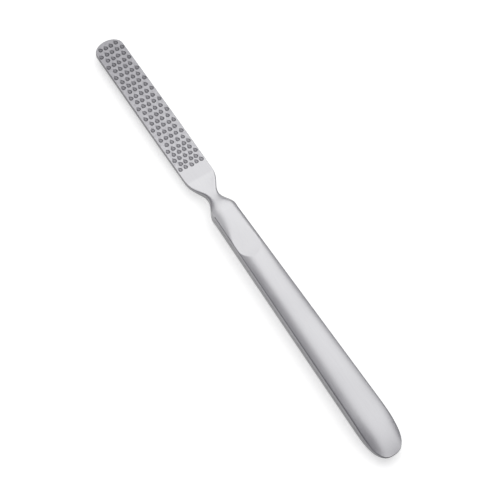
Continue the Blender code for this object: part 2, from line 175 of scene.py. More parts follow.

# Rings of a tooth from its foot in to the middle of its pit: reach from the middle,
# height behind the pit as a share of the lip or the depth, height before it, and painted pit shade
TOOTH_RING_SHARES = [(0.97, 0.6, 0.0, 0.0), (0.94, 1.0, -0.02, 0.0), (0.90, 0.7, -0.08, 0.25),
                     (0.82, -0.1, -0.2, 0.6), (0.70, -0.6, -0.45, 0.85), (0.48, -1.0, -0.9, 1.0),
                     (0.22, -0.95, -0.95, 1.0)]
TOOTH_MIDDLE_SHARES = (0.0, -0.92, -0.92, 1.0)

# Faces that meet at a smaller angle are shaded as one smooth surface
SMOOTH_ANGLE = math.radians(13)

# Counts that set how fine the meshes are
BLADE_ARC_STEPS = 10
SHELL_ARC_STEPS = 18
INNER_ARC_STEPS = 4
CREASE_STEPS = 8
LEVEL_STEPS = 24
TIP_STEPS = 24
WAIST_STEPS = 72
ENTRY_STEPS = 24
FLAT_STEPS = 12
EXIT_STEPS = 16
AFTER_FLAT_STEPS = 50
END_STEPS = 40
TOOTH_STEPS = 26

# Halvings that find where a crown comes up to its cap
REACH_TRIES = 30

# Vertices that are closer than this become one
MERGE_DISTANCE = 1e-7

# Places that follow from the sizes
SHOULDER = JOINT - BOLSTER_LENGTH
NECK = SHOULDER - WAIST_FLARE_LENGTH
PLATE_END = BLADE_LENGTH - WAIST_TAPER_ROUND
END_START = OVERALL_LENGTH - END_ROUND_LENGTH
FLAT_START = JOINT + THUMB_FLAT_SETBACK
FLAT_END = FLAT_START + THUMB_FLAT_LENGTH
EXIT_END = FLAT_END + THUMB_EXIT_LENGTH

# Metals, brushed along the tool. A noise's scale counts its cells to a metre.
STEEL_COLOUR = (0.566, 0.568, 0.571)
STEEL_ROUGHNESS = 0.34
WELD_COLOUR = (0.25, 0.25, 0.256)
WELD_ROUGHNESS = 0.45
BRAZE_COLOUR = (0.62, 0.56, 0.44)
BRAZE_ROUGHNESS = 0.5
ROUGHNESS_SCATTER = 0.04
TOOTH_ROUGHNESS = 0.15
BRUSH_SCALE = 5200
BRUSH_STRETCH_SHARE = 0.035
BRUSH_DETAIL = 3
BRUSH_BUMP = 0.0000012
CLOUD_SCALE = 110
CLOUD_STRETCH_SHARE = 0.4
CLOUD_DETAIL = 2
GRAIN_SCALE = 9000
GRAIN_DETAIL = 2
GRAIN_BUMP_SHARE = 0.5
MOTTLE_SCALE = 1300
MOTTLE_DETAIL = 2

# Where the bare base starts, and where it steps up again behind a faint line
FIELD_END = 0.0545
FIELD_END_BLUR = 0.0006
BASE_STEP = 0.0600
BASE_STEP_BLUR = 0.0004

# Range that most of a noise lies in, and what it is spread to
NOISE_RANGE = (0.3, 0.7)
BRUSH_SHARES = (0.96, 1.04)
CLOUD_SHARES = (0.97, 1.02)
MOTTLE_SHARES = (-0.16, 0.06)

# Tone as a share of the colour, from the start to the end of the handle and of the toothed field.
# Along the handle it is painted shade, darker towards the round end. Along the field it is partly painted
# shade for the punched, uneven face between the teeth and partly grime, darker towards the tip
HANDLE_PAINTED_SHADE_SHARES = (0.97, 0.84)
FIELD_SHADE_AND_GRIME_SHARES = (0.55, 0.81)

# Tone added where the bare base starts, and where it steps up again
FIELD_END_SHARE = 0.105
BASE_STEP_SHARE = 0.08

# Tone of the painted shade in the middle of a tooth's pit, and the pit shade from which its slopes don't get
# the painted side shade
TOOTH_PIT_SHADE_SHARE = 0.54
TOOTH_SLOPE_SHARE = 0.2

# Painted shade by how much a surface looks up, first for the handle, seam and tang, then for the blade:
# sides, creases, rounded shoulders, top. Steep sides and creases are painted darker, and the first gets a
# slight painted highlight where its crowns start to round
PAINTED_SIDE_SHADE_SHARES = [(0.0, 0.54), (0.30, 0.52), (0.50, 0.45), (0.70, 0.47), (0.86, 0.90), (0.90, 1.05),
               (1.0, 1.0)]
BLADE_PAINTED_SIDE_SHADE_SHARES = [(0.0, 0.48), (0.30, 0.52), (0.50, 0.50), (0.70, 0.56), (0.86, 0.94),
                     (0.90, 1.0), (1.0, 1.0)]

# Share by which each channel of a darkened tone leans to violet, which tints the painted shade violet as
# well as the other darker tones
DARK_TINT_SHARES = (0.0, -0.02, 0.05)

# Camera, which looks down at the tool as in the photo
CAMERA_TILT = math.radians(29)
CAMERA_HEADING = math.radians(58.3)
CAMERA_DISTANCE = 1.2
CAMERA_SPAN = 0.1582
CAMERA_RIGHT = 0.00145
CAMERA_UP = -0.0024
SENSOR_WIDTH = 36

# Studio
SOFTBOX_LENGTH = 2.4
SOFTBOX_WIDTH = 1.6
SOFTBOX_PLACE = (-0.80, 0.60, 1.0)
SOFTBOX_RADIANCE = 1.125
SKY_COLOUR = (0.366, 0.358, 0.385, 1)
FLOOR_SIZE = 8.0
FLOOR_DROP = 0.00002
FLOOR_COLOUR = (0.935, 0.944, 0.915, 1)
FLOOR_ROUGHNESS = 0.9
FLOOR_GLOW = 0.455
WHITE = (1, 1, 1, 1)


# Formulas


def mix(start, end, share):
    """Value at a share of the way from the start to the end."""
    return start + (end - start) * share


def share_past(place, start, length):
    """Share of a stretch that a place has passed, from none to all."""
    return min(1, max(0, place - start) / length)


def eased(share):
    """A share that leaves zero and reaches one without a corner."""
    return share * share * (3 - 2 * share)


def soft_ramp(distance, blend):
    """Zero before a corner and the distance after it, rounded within the blend."""
    if distance <= -blend:
        return 0
    if distance >= blend:
        return distance
    return (distance + blend) ** 2 / (4 * blend)


def rounded_line(place, knots, blends):
    """Value at a place on a line through the knots, with each inner corner rounded."""
    slopes = [(b[1] - a[1]) / (b[0] - a[0]) for a, b in zip(knots, knots[1:])]
    value = knots[0][1] + slopes[0] * (place - knots[0][0])
    for knot, blend, before, after in zip(knots[1:], blends, slopes, slopes[1:]):
        value += (after - before) * soft_ramp(place - knot[0], blend)
    return value


def soft_min(first, second, blend):
    """The lower of two heights, rounded where they differ by less than the blend."""
    if blend == 0:
        return min(first, second)
    near = max(0, 1 - abs(first - second) / blend)
    return min(first, second) - near ** 2 * blend / 4


# Outline in plan


def waist_corner_half():
    """Half-width of the waist's sharp corner, which rounds out to half the neck's width."""
    quarter = NECK_ROUND / 4
    taper = NECK - BLADE_LENGTH
    lean = 1 / taper + 1 / WAIST_FLARE_LENGTH
    spread = BLADE_WIDTH / taper + SHOULDER_WIDTH / WAIST_FLARE_LENGTH
    return (NECK_WIDTH - quarter * spread) / (2 * (1 - quarter * lean))


def side_line(place):
    """Half-width of the tool, without the rounding of its two ends."""
    knots = [(0, BLADE_TIP_WIDTH / 2), (BLADE_TAPER_LENGTH, BLADE_WIDTH / 2),
             (BLADE_LENGTH, BLADE_WIDTH / 2), (NECK, waist_corner_half()),
             (SHOULDER, SHOULDER_WIDTH / 2), (END_START, HANDLE_WIDTH / 2)]
    blends = [BLADE_TAPER_ROUND, WAIST_TAPER_ROUND, NECK_ROUND, SHOULDER_ROUND]
    return rounded_line(place, knots, blends)


def plan_point(station, inset):
    """Place and half-width of the handle's outline at a station, drawn in by the inset."""
    start, turn = station
    power = 2 / END_ROUND_POWER
    place = start + (END_ROUND_LENGTH - inset) * math.sin(turn) ** power
    half = (side_line(place) - inset) * max(0, math.cos(turn)) ** power
    return place, half


def end_width_share(beyond, power):
    """Share of its width that a round end keeps at a share of its length."""
    return (1 - beyond ** power) ** (1 / power)


def handle_xy(place, y):
    """Point in plan of the handle, whose round end leans to the near side, -Y, and is fuller there."""
    beyond = share_past(place, END_START, END_ROUND_LENGTH)
    if y < 0 and beyond < 1:
        y *= end_width_share(beyond, NEAR_END_POWER) / end_width_share(beyond, END_ROUND_POWER)
    return along(place - END_LEAN_SHARE * y * beyond ** END_LEAN_POWER), y


def handle_stations():
    """Stations of the handle, each the start of its stretch and its turn round the end."""
    runs = [(JOINT, FLAT_START, ENTRY_STEPS), (FLAT_START, FLAT_END, FLAT_STEPS),
            (FLAT_END, EXIT_END, EXIT_STEPS), (EXIT_END, END_START, AFTER_FLAT_STEPS)]
    stations = []
    for start, end, steps in runs:
        stations += [(start + (end - start) * i / steps, 0) for i in range(steps)]
    quarter_turn = math.pi / 2
    stations += [(END_START, quarter_turn * i / END_STEPS) for i in range(END_STEPS)]
    return stations + [(END_START, quarter_turn)]


# Heights over the tool's middle plane


def waist_value(place, plate, neck, handle):
    """A height or width that grows from the plate, through the neck, to the handle."""
    full = JOINT - THICKENING_ROUND
    knots = [(0, plate), (BLADE_LENGTH + THICKENING_SETBACK, plate), (NECK, neck),
             (full, handle), (OVERALL_LENGTH, handle)]
    return rounded_line(place, knots, [THICKENING_ROUND] * 3)


def kept_shares(place, upper):
    """Shares of their height that a crown, and the land under it, keep towards the handle's end."""
    length = UPPER_FALL_LENGTH if upper else LOWER_FALL_LENGTH
    beyond = share_past(place, OVERALL_LENGTH - length, length)
    if upper:
        return 1 - beyond ** UPPER_FALL_POWER, (1 + math.cos(math.pi * beyond)) / 2
    return 1 - beyond ** LOWER_FALL_POWER, 1 - beyond ** LOWER_FALL_POWER


def handle_edge(place, upper):
    """Half-height of the flat side land, which falls to the thin edge of the round end."""
    _, land = kept_shares(place, upper)
    return mix(END_THICKNESS / 2, LAND_HEIGHT / 2, land)


def handle_rise(place, upper):
    """Height of a crown over the land's edge. The upper one grows away from the bolster."""
    full = CROWN_RISE
    if upper:
        full = mix(JOINT_CROWN_RISE, CROWN_RISE, eased(share_past(place, JOINT, CROWN_GROWTH_LENGTH)))
    crown, _ = kept_shares(place, upper)
    top = mix(END_THICKNESS / 2, LAND_HEIGHT / 2 + full, crown)
    return max(0, top - handle_edge(place, upper))


def crown_share(share, roundness):
    """Share of a crown's rise at a share of the way out to its edge.

    A roundness of one leaves a crease at the edge, and a half makes it fully round.
    """
    return (1 - share ** CROWN_POWER) ** roundness


def thumb_flat_cap(place):
    """Height that the thumb flat and its two slopes press the upper crown down to."""
    before = soft_ramp(FLAT_START - place, THUMB_ENTRY_ROUND) / THUMB_ENTRY_LENGTH
    after = soft_ramp(place - FLAT_END, THUMB_EXIT_ROUND) / THUMB_EXIT_LENGTH
    return LAND_HEIGHT / 2 + THUMB_FLAT_ABOVE_LAND + CROWN_RISE * (before + after)


def thumb_flat_blend(place):
    """Height within which the thumb flat runs softly into the crown, greater along its entry."""
    before = max(0, FLAT_START - place) / (THUMB_BLEND_SHARE * THUMB_ENTRY_LENGTH)
    return mix(THUMB_FLAT_BLEND, THUMB_ENTRY_BLEND, min(1, before))


def front_share(place):
    """How far the two sides differ in shape: fully at the bolster, and less and less behind it."""
    return eased(1 - share_past(place, JOINT, FRONT_LENGTH))


class Crown:
    """One crown over the land's edge, which rounds within the rounding's width.

    A cap, which may lean by a roll, cuts off what stands higher, softly within the blend.
    The far side, +Y, can round wider. A side with a bulge above zero stands higher towards
    its edge, and one with a bulge below zero falls sooner.
    """

    def __init__(self, half, edge, rise, rounding, roundness, widening=0, bulges=(0, 0)):
        far_bulge, near_bulge = bulges
        self.half, self.edge, self.rise, self.roundness = half, edge, rise, roundness
        self.widths = {1: min(half, rounding * (1 + widening)), -1: rounding}
        self.bulges = {1: far_bulge, -1: near_bulge}
        self.cap, self.roll, self.blend = None, 0, 0

    def across(self, share, side):
        """Y at a share of the way out to the edge on one side."""
        return side * (self.half - self.widths[side] * (1 - share))

    def top(self, y):
        """Height at Y without the cap."""
        side = 1 if y > 0 else -1
        share = max(0, 1 - (self.half - abs(y)) / self.widths[side])
        lift = 1 + self.bulges[side] * (y / self.half) ** 2
        return self.edge + self.rise * lift * crown_share(share, self.roundness)

    def height(self, y):
        """Height at Y under the cap."""
        if self.cap is None:
            return self.top(y)
        return soft_min(self.top(y), self.cap + self.roll * y, self.blend)

    def reach(self, least, side):
        """Share at which one side comes up to the cap, or the least share."""
        low, high = least, 1
        for _ in range(REACH_TRIES):
            middle = (low + high) / 2
            y = self.across(middle, side)
            if self.cap is not None and self.top(y) > self.cap + self.roll * y:
                low = middle
            else:
                high = middle
        return high

    def points(self, least, steps, inset=0):
        """Points (y, z) from the edge at +Y over to the one at -Y, each drawn in by the inset."""
        sides = []
        for side in (1, -1):
            start = 1 - inset / self.widths[side]
            inner = min(self.reach(least, side), start * LEVEL_EDGE_SHARE)
            shares = [start - (start - inner) * (i / steps) ** 2 for i in range(steps + 1)]
            places = [self.across(share, side) for share in shares]
            sides.append([(y, self.height(y)) for y in places])
        far, near = sides
        middle = (far[-1][0] + near[-1][0]) / 2
        spread = (far[-1][0] - near[-1][0]) / 2
        turns = [math.pi * i / LEVEL_STEPS for i in range(1, LEVEL_STEPS)]
        places = [middle + spread * math.cos(turn) for turn in turns]
        return far + [(y, self.height(y)) for y in places] + near[::-1]


# Mesh helpers


def along(place):
    """X of a place that is measured from the blade's tip."""
    return TIP_X + place


def add_ring(mesh, place, points):
    """Vertices for one cross-section."""
    return [mesh.verts.new((along(place), y, AXIS_HEIGHT + z)) for y, z in points]


def join_rows(mesh, first, second, closed):
    """Faces between two rows of vertices."""
    count = len(first)
    for i in range(count if closed else count - 1):
        j = (i + 1) % count
        mesh.faces.new((first[i], first[j], second[j], second[i]))


def add_piece(name, mesh, finish, node):
    """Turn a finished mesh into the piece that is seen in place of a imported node."""
    bmesh.ops.remove_doubles(mesh, verts=mesh.verts, dist=MERGE_DISTANCE)
    bmesh.ops.dissolve_degenerate(mesh, edges=mesh.edges, dist=MERGE_DISTANCE)
    bmesh.ops.recalc_face_normals(mesh, faces=mesh.faces)
    data = bpy.data.meshes.new(name)
    mesh.to_mesh(data)
    mesh.free()
    data.shade_smooth()
    data.set_sharp_from_angle(angle=SMOOTH_ANGLE)
    data.materials.append(finish)
    piece = bpy.data.objects.new(name, data)
    bpy.context.scene.collection.objects.link(piece)
    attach(piece, "root")
    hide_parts(node)


# Rasp blade: plate with teeth, waist, bolster and tang


def waist_section(place):
    """Upper crown, then mirrored lower crown, of the blade behind its plate."""
    half = side_line(place)
    flared = share_past(place, PLATE_END, FLARE_GROWTH_LENGTH)
    rounding = waist_value(place, BLADE_EDGE_ROUND, NECK_EDGE_ROUND, side_line(JOINT))
    rounding = max(rounding, mix(BLADE_EDGE_ROUND, NECK_EDGE_ROUND, flared))
    rounding = min(half, rounding)
    roundness = waist_value(place, WAIST_ROUNDNESS, WAIST_ROUNDNESS, SHELL_ROUNDNESS)
    reach = waist_value(place, 0, 0, LEVEL_SHARE)
    bulge = waist_value(place, TAPER_BULGE_SHARE, NECK_BULGE_SHARE, FRONT_BULGE_SHARE)
    hollow = waist_value(place, TAPER_HOLLOW_SHARE, 0, FRONT_HOLLOW_SHARE)
    sides = []
    for upper, handle_crown in ((True, JOINT_CROWN_RISE), (False, CROWN_RISE)):
        rise = waist_value(place, BLADE_EDGE_ROUND, NECK_CROWN_RISE, handle_crown)
        rise = max(rise, mix(BLADE_EDGE_ROUND, FLARE_CROWN_RISE, flared))
        top = waist_value(place, BLADE_THICKNESS / 2, NECK_THICKNESS / 2, LAND_HEIGHT / 2 + handle_crown)
        if upper:
            crown = Crown(half, top - rise, rise, rounding, roundness,
                          widening=FAR_WIDENING_SHARE * flared, bulges=(flared * bulge, -flared * hollow))
        else:
            crown = Crown(half, top - rise, rise, rounding, roundness)
            crown.cap = top - rise + rise * crown_share(reach, roundness)
        sides.append(crown.points(reach, BLADE_ARC_STEPS))
    upper, lower = sides
    return upper + [(y, -z) for y, z in reversed(lower)]


def tang_section():
    """The tang's rectangle, with as many points as a waist section has."""
    half = TANG_WIDTH / 2
    flat = Crown(half, TANG_THICKNESS / 2, 0, half, SHELL_ROUNDNESS)
    upper = flat.points(LEVEL_SHARE, BLADE_ARC_STEPS)
    return upper + [(y, -z) for y, z in reversed(upper)]


def tip_outline():
    """Plate outline as (place, y, outward normal), from +Y round the tip to -Y."""
    knee = side_line(BLADE_TAPER_LENGTH)
    half = side_line(TIP_ROUND_LENGTH)
    outline = [(BLADE_TAPER_LENGTH, knee, Vector((0, 1)))]
    for i in range(2 * TIP_STEPS + 1):
        angle = math.pi / 2 * (1 - i / TIP_STEPS)
        place = TIP_ROUND_LENGTH * (1 - math.cos(angle))
        normal = Vector((-math.cos(angle) / TIP_ROUND_LENGTH, math.sin(angle) / half))
        outline.append((place, half * math.sin(angle), normal.normalized()))
    outline.append((BLADE_TAPER_LENGTH, -knee, Vector((0, -1))))
    return outline


def plate_rim(mesh, ring):
    """Rounded rim of the plate. Returns the columns of vertices, each from top to bottom."""
    steps = BLADE_ARC_STEPS
    count = len(ring)
    first = ring[steps::-1] + ring[:count - steps - 2:-1]
    top_far = count // 2 - 1
    last = ring[top_far - steps:top_far + steps + 2]
    corner = Crown(BLADE_EDGE_ROUND, BLADE_THICKNESS / 2 - BLADE_EDGE_ROUND, BLADE_EDGE_ROUND,
                   BLADE_EDGE_ROUND, WAIST_ROUNDNESS)
    half_column = corner.points(0, steps)[:steps + 1]
    profile = [(BLADE_EDGE_ROUND - y, z) for y, z in reversed(half_column)]
    profile += [(inset, -z) for inset, z in reversed(profile)]
    columns = [first]
    for place, y, normal in tip_outline():
        column = []
        for inset, z in profile:
            x = along(place) - normal.x * inset
            column.append(mesh.verts.new((x, y - normal.y * inset, AXIS_HEIGHT + z)))
        columns.append(column)
    columns.append(last)
    for before, after in zip(columns, columns[1:]):
        join_rows(mesh, before, after, False)
    return columns


def tooth_rows():
    """Places of the rows of teeth, which stand closer at the base of the field."""
    last = BLADE_LENGTH - BARE_BASE_LENGTH
    change = last - CLOSE_FIELD_LENGTH
    rows = []
    runs = [(FIRST_ROW_FROM_TIP, change, ROW_PITCH), (change, last, CLOSE_ROW_PITCH)]
    for start, end, pitch in runs:
        gaps = max(1, round((end - start) / pitch))
        rows += [start + (end - start) * i / gaps for i in range(gaps)]
    return rows + [last]


def tooth_places():
    """Centre and turn of every tooth: rows of four and five by turns, a little scattered."""
    scatter = random.Random(TOOTH_SEED)
    field = BLADE_TIP_WIDTH - 2 * TOOTH_SIDE_MARGIN
    gaps = max(1, round(field / TOOTH_PITCH))
    pitch = field / gaps
    places = []
    for number, place in enumerate(reversed(tooth_rows())):
        row_gaps = gaps - number % 2
        for i in range(row_gaps + 1):
            shift = scatter.uniform(-TOOTH_SCATTER, TOOTH_SCATTER)
            slide = scatter.uniform(-TOOTH_SCATTER, TOOTH_SCATTER)
            turn = scatter.uniform(-TOOTH_SCATTER_TURN, TOOTH_SCATTER_TURN)
            y = (i - row_gaps / 2) * pitch
            places.append((Vector((place + shift, y + slide)), turn))
    return places


class Tooth:
    """One punched tooth: a teardrop pit with a lip raised behind it, and painted shade in the pit."""

    def __init__(self, centre, turn, scatter):
        self.centre = centre
        self.turn = turn + TOOTH_LEAN
        spread = TOOTH_SIZE_SCATTER_SHARE
        self.length = TOOTH_LENGTH * (1 + scatter.uniform(-spread, spread))
        self.width = TOOTH_WIDTH * (1 + scatter.uniform(-spread, spread))
        self.depth = TOOTH_PIT_DEPTH * (1 + scatter.uniform(-spread, spread))
        self.lip = TOOTH_LIP_HEIGHT * (1 + scatter.uniform(-spread, spread))

    def plan(self, reach, step):
        """Point in plan on the ring that reaches so far from the pit's middle."""
        angle = 2 * math.pi * step / TOOTH_STEPS
        taper = math.sin(angle / 2) ** TOOTH_POINT_POWER / TOOTH_WIDEST_SHARE
        forward = -self.length / 2 * math.cos(angle)
        across = self.width / 2 * math.sin(angle) * taper
        pole = TOOTH_POLE_SHARE * self.length
        x = pole + (forward - pole) * reach
        y = across * reach
        cosine, sine = math.cos(self.turn), math.sin(self.turn)
        return self.centre + Vector((x * cosine - y * sine, x * sine + y * cosine))

    def height(self, behind, before, step):
        """Height of a ring over the plate, which differs between the lip and the front."""
        back = eased((1 - math.cos(2 * math.pi * step / TOOTH_STEPS)) / 2)
        rear = behind * (self.lip if behind > 0 else self.depth)
        return back * rear + (1 - back) * before * self.depth

    def foot(self):
        """Outline of the tooth on the plate."""
        return [self.plan(1, step) for step in range(TOOTH_STEPS)]

    def raise_from(self, mesh, foot, painted_pit_shade, level):
        """Surface of the tooth, inwards from the vertices of its foot, with painted shade that darkens into
        the pit.
        """
        before_row = foot
        for reach, behind, before, pit_shade_share in TOOTH_RING_SHARES:
            row = []
            for step in range(TOOTH_STEPS):
                point = self.plan(reach, step)
                height = level + self.height(behind, before, step)
                vertex = mesh.verts.new((along(point.x), point.y, height))
                # Painted pit shade, a little darker towards the side of the pit at the turn TOOTH_SHADE_TURN
                facing = math.cos(2 * math.pi * step / TOOTH_STEPS - TOOTH_SHADE_TURN)
                vertex[painted_pit_shade] = pit_shade_share * (1 - TOOTH_SHADE_SHARE * (1 - facing))
                row.append(vertex)
            join_rows(mesh, before_row, row, True)
            before_row = row
        reach, behind, before, pit_shade_share = TOOTH_MIDDLE_SHARES
        point = self.plan(reach, 0)
        middle = mesh.verts.new((along(point.x), point.y, level + self.height(behind, before, 0)))
        middle[painted_pit_shade] = pit_shade_share * (1 - TOOTH_SHADE_SHARE)
        for i in range(TOOTH_STEPS):
            mesh.faces.new((before_row[i - 1], before_row[i], middle))


def flat_half_width(place):
    """Half-width of the plate's level face."""
    half = side_line(place) - BLADE_EDGE_ROUND
    if place < TIP_ROUND_LENGTH:
        lean = min(1, (TIP_ROUND_LENGTH - place) / (TIP_ROUND_LENGTH - BLADE_EDGE_ROUND))
        half *= math.sqrt(1 - lean ** 2)
    return half


def tooth_fits(foot):
    """Whether the whole foot of a tooth lies on the plate's level face."""
    return all(point.x > BLADE_EDGE_ROUND + TOOTH_EDGE_GAP
               and abs(point.y) < flat_half_width(point.x) - TOOTH_EDGE_GAP for point in foot)


def inside(point, loop):
    """Whether a point in plan lies inside a closed loop."""
    odd = False
    for a, b in zip(loop, loop[1:] + loop[:1]):
        if (a.y > point.y) != (b.y > point.y):
            if point.x < a.x + (b.x - a.x) * (point.y - a.y) / (b.y - a.y):
                odd = not odd
    return odd


def cross(first, second):
    """Whether any sides of two outlines cross."""
    return any(intersect_line_line_2d(first[i - 1], first[i], second[j - 1], second[j])
               for i in range(len(first)) for j in range(len(second)))


def seat_tooth(tooth, feet):
    """Foot of a tooth once it is moved inwards onto the plate and shrunk clear of the others."""
    foot = tooth.foot()
    while not tooth_fits(foot):
        tooth.centre.y *= TOOTH_NUDGE_SHARE
        foot = tooth.foot()
    reach = TOOTH_REACH_SHARE * TOOTH_LENGTH
    near = [other for other in feet if (other[0] - foot[0]).length < reach]
    while any(cross(foot, other) for other in near):
        tooth.length *= TOOTH_SHRINK_SHARE
        tooth.width *= TOOTH_SHRINK_SHARE
        foot = tooth.foot()
    return foot


def toothed_face(mesh, rim, painted_pit_shade):
    """Level face of the plate between its rim and the teeth, and the teeth themselves."""
    level = AXIS_HEIGHT + BLADE_THICKNESS / 2
    scatter = random.Random(TOOTH_SEED)
    corners = list(rim)
    loops = [list(range(len(rim)))]
    feet = []
    for centre, turn in tooth_places():
        tooth = Tooth(centre, turn, scatter)
        foot = seat_tooth(tooth, feet)
        feet.append(foot)
        vertices = [mesh.verts.new((along(point.x), point.y, level)) for point in foot]
        tooth.raise_from(mesh, vertices, painted_pit_shade, level)
        loops.append(list(range(len(corners), len(corners) + len(foot))))
        corners += vertices
    flat = [corner.co.xy for corner in corners]
    edges = [(loop[i - 1], loop[i]) for loop in loops for i in range(len(loop))]
    outlines = [[flat[i] for i in loop] for loop in loops]
    points, _, triangles, sources, _, _ = delaunay_2d_cdt(flat, edges, [], 0, 0, True)
    for triangle in triangles:
        middle = sum((points[i] for i in triangle), Vector((0, 0))) / 3
        on_plate = inside(middle, outlines[0])
        if on_plate and not any(inside(middle, outline) for outline in outlines[1:]):
            mesh.faces.new([corners[sources[i][0]] for i in triangle])


def make_blade(finish):
    """Plate, waist, bolster and tang as one closed body."""
    mesh = bmesh.new()
    # Painted shade of the teeth's pits, a value on each vertex that the blade's material reads
    painted_pit_shade = mesh.verts.layers.float.new("painted_pit_shade")
    rings = []
    for i in range(WAIST_STEPS + 1):
        place = PLATE_END + (JOINT - PLATE_END) * i / WAIST_STEPS
        rings.append(add_ring(mesh, place, waist_section(place)))
    rings.append(add_ring(mesh, JOINT, tang_section()))
    rings.append(add_ring(mesh, TANG_END, tang_section()))
    for before, after in zip(rings, rings[1:]):
        join_rows(mesh, before, after, True)
    count = len(rings[0])
    join_rows(mesh, rings[-1][:count // 2], rings[-1][:count // 2 - 1:-1], False)
    first = rings[0]
    columns = plate_rim(mesh, first)
    steps = BLADE_ARC_STEPS
    upper_inside = first[steps + 1:count // 2 - steps - 1]
    lower_inside = first[count // 2 + steps + 1:count - steps - 1]
    toothed_face(mesh, [column[0] for column in columns] + upper_inside[::-1], painted_pit_shade)
    mesh.faces.new([column[-1] for column in columns] + lower_inside)
    add_piece("toothed_blade", mesh, finish, "rasp_blade")


# Handle shells


def outer_crown(place, half, upper):
    """Outer crown of a shell, with a round down to the land along each edge.

    The round takes only a share of the land, and of the half-width, where they are small.
    """
    edge, rise = handle_edge(place, upper), handle_rise(place, upper)
    size = mix(CREASE_ROUND, END_CREASE_ROUND, share_past(place, FLAT_END, END_START - FLAT_END))
    size = min(size, CREASE_LAND_SHARE * (edge - SEAM_THICKNESS / 2), CREASE_WIDTH_SHARE * half)
    if upper:
        front = front_share(place)
        bulges = (FRONT_BULGE_SHARE * front, -mix(NEAR_HOLLOW_SHARE, FRONT_HOLLOW_SHARE, front))
        crown = Crown(half, edge, rise, half, SHELL_ROUNDNESS, bulges=bulges)
        crown.cap = thumb_flat_cap(place)
        crown.roll = math.tan(THUMB_FLAT_ROLL)
        crown.blend = thumb_flat_blend(place)
    else:
        crown = Crown(half, edge, rise, half, SHELL_ROUNDNESS)
        crown.cap = edge + rise * crown_share(LEVEL_SHARE, SHELL_ROUNDNESS)
    points = crown.points(LEVEL_SHARE, SHELL_ARC_STEPS, size)
    far, near = crease_arc(points, half, edge, size), crease_arc(points[::-1], half, edge, size)
    return far + points + near[::-1]


def crease_arc(points, half, edge, size):
    """Round that leads from the land up to the first of a crown's points."""
    (first_y, first_z), (second_y, second_z) = points[:2]
    side = math.copysign(1, first_y)
    slope = (second_z - first_z) / abs(first_y - second_y)
    corner = Vector((half * side, first_z - slope * size))
    start, end = Vector((half * side, edge - size)), Vector(points[0])
    arc = []
    for i in range(CREASE_STEPS):
        t = i / CREASE_STEPS
        point = start * (1 - t) ** 2 + corner * (2 * t * (1 - t)) + end * t ** 2
        arc.append((point.x, point.y))
    return arc


def inner_crown(place, half, upper):
    """Crown of the hollow inside a shell."""
    top = handle_edge(place, upper) + handle_rise(place, upper)
    if upper:
        top = min(top, thumb_flat_cap(place))
    edge = INNER_LAND_SHARE * handle_edge(place, upper)
    rise = max(0, top - SHELL_WALL - edge)
    return Crown(half, edge, rise, half, SHELL_ROUNDNESS).points(LEVEL_SHARE, INNER_ARC_STEPS)


def make_shell(name, node, upper, finish):
    """One half of the handle, open towards the seam and towards the bolster."""
    mesh = bmesh.new()
    sign = 1 if upper else -1
    seam = SEAM_THICKNESS / 2
    rows = []
    for station in handle_stations():
        place, half = plan_point(station, 0)
        outer = [(half, seam)] + outer_crown(place, half, upper) + [(-half, seam)]
        inner_place, inner_half = plan_point(station, SHELL_WALL)
        inner = inner_crown(inner_place, inner_half, upper)
        inner = [(inner_half, seam)] + inner + [(-inner_half, seam)]
        row = []
        for at, points in ((place, outer), (inner_place, inner)):
            row.append([mesh.verts.new((*handle_xy(at, y), AXIS_HEIGHT + z * sign)) for y, z in points])
        rows.append(row)
    for (outer, inner), (next_outer, next_inner) in zip(rows, rows[1:]):
        join_rows(mesh, outer, next_outer, False)
        join_rows(mesh, inner, next_inner, False)
        mesh.faces.new((outer[0], next_outer[0], next_inner[0], inner[0]))
        mesh.faces.new((outer[-1], next_outer[-1], next_inner[-1], inner[-1]))
    outer, inner = rows[0]
    mesh.faces.new(outer + inner[::-1])
    add_piece(name, mesh, finish, node)


def make_seam(finish):
    """Weld in the seam between the shells, which shows as a fine line along the lands."""
    mesh = bmesh.new()
    seam = SEAM_THICKNESS / 2
    sections = []
    stations = handle_stations()
    path = [(station, 1) for station in stations] + [(station, -1) for station in stations[-2::-1]]
    for station, side in path:
        outer_place, outer_half = plan_point(station, WELD_SINK)
        inner_place, inner_half = plan_point(station, SHELL_WALL)
        corners = [(outer_place, outer_half, -seam), (outer_place, outer_half, seam),
                   (inner_place, inner_half, seam), (inner_place, inner_half, -seam)]
        section = []
        for at, y, z in corners:
            section.append(mesh.verts.new((*handle_xy(at, y * side), AXIS_HEIGHT + z)))
        sections.append(section)
    for before, after in zip(sections, sections[1:]):
        join_rows(mesh, before, after, True)
    mesh.faces.new(sections[0])
    mesh.faces.new(sections[-1])
    add_piece("seam_line", mesh, finish, "seam_weld")


# Materials


